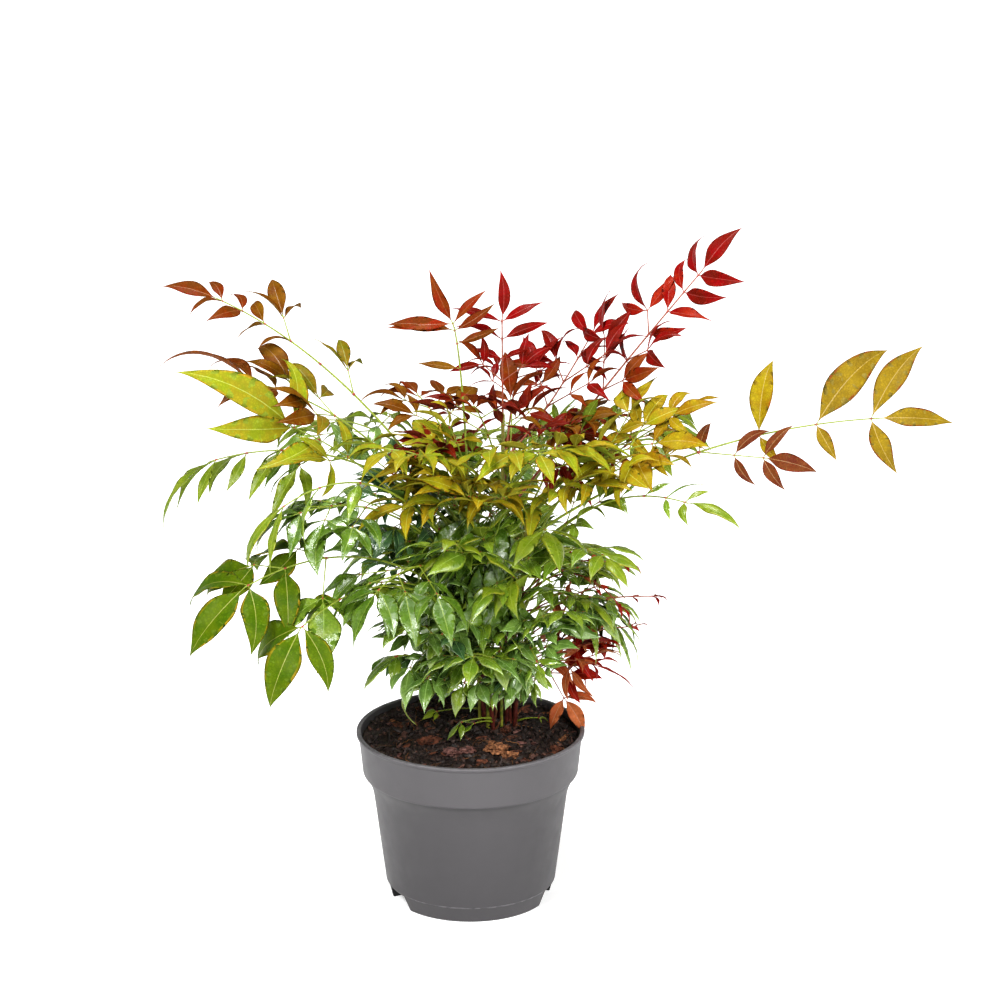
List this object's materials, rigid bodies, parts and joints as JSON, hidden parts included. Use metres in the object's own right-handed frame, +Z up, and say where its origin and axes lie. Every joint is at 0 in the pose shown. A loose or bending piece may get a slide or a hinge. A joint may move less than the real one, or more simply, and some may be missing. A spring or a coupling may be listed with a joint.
{
  "type": "heavenly bamboo shrub in a nursery pot",
  "caption": "Young clump of upright canes with divided, red-tinted evergreen leaves, growing in a round plastic pot filled with compost.",
  "frame": {"origin": "middle of the pot's flat underside, on the ground", "axes": "+Z up, +X to the right of the pot's front, towards the longest golden frond, +Y to the back"},
  "size_m": [0.6549, 0.4282, 0.5556],
  "materials": {
    "amber": "amber to olive leaflets",
    "brick": "brick red leaflets",
    "bronze": "bronze to rust leaflets",
    "cane": "red-brown ribbed cane with old leaf sheaths",
    "compost": "dark moist potting compost with bark chips and fibres",
    "crimson": "crimson young leaflets",
    "deep": "glossy dark green leaflets",
    "fresh": "light green leaflets",
    "gold": "golden yellow leaflets flushed with bronze",
    "green": "glossy mid green leaflets",
    "lime": "yellow-green leaflets",
    "maroon": "dark maroon-brown leaflets",
    "pot": "mid grey injection-moulded plastic, satin, light scuffs",
    "scarlet": "scarlet young leaflets",
    "stalk": "smooth yellow-green to red leafstalk, swollen at its joints"
  },
  "bodies": {
    "root": {"bough_back_east": "stalk", "bough_back_low_west": "stalk", "bough_back_north": "stalk", "bough_back_west": "stalk", "bough_bronze_west": "stalk", "bough_drooping_west": "stalk", "bough_fresh_southwest": "stalk", "bough_gold_east": "stalk", "bough_green_east": "stalk", "bough_green_southwest": "stalk", "bough_hanging_southwest": "stalk", "bough_lime_west": "stalk", "bough_russet_west": "stalk", "bough_scarlet_northeast": "stalk", "cane_east_back": "cane", "cane_east_front": "cane", "cane_east_tall": "cane", "cane_west_back": "cane", "cane_west_front": "cane", "cane_west_tall": "cane", "compost": "compost", "foliage_amber_east": "amber", "foliage_back_east": "fresh", "foliage_back_low_east": "green", "foliage_back_low_west": "green", "foliage_back_north": "fresh", "foliage_back_west": "fresh", "foliage_bronze_north": "bronze", "foliage_bronze_top": "maroon", "foliage_bronze_west": "bronze", "foliage_crimson_north": "crimson", "foliage_crimson_northeast": "crimson", "foliage_crimson_top": "crimson", "foliage_drooping_west": "fresh", "foliage_fresh_southwest": "fresh", "foliage_glossy_front": "deep", "foliage_glossy_front_east": "deep", "foliage_glossy_front_west": "deep", "foliage_gold_east": "gold", "foliage_green_east": "fresh", "foliage_green_front_west": "green", "foliage_green_southeast": "green", "foliage_green_southwest": "green", "foliage_hanging_southwest": "green", "foliage_lime_front_east": "lime", "foliage_lime_front_west": "lime", "foliage_lime_west": "lime", "foliage_low_green_east": "deep", "foliage_low_red_east": "brick", "foliage_low_west": "deep", "foliage_mid_green_east": "green", "foliage_mid_green_front": "green", "foliage_mid_green_west": "green", "foliage_olive_centre": "maroon", "foliage_olive_east": "maroon", "foliage_russet_west": "bronze", "foliage_scarlet_northeast": "scarlet", "foliage_young_red_east": "scarlet", "pot": "pot"}
  },
  "joints": []
}
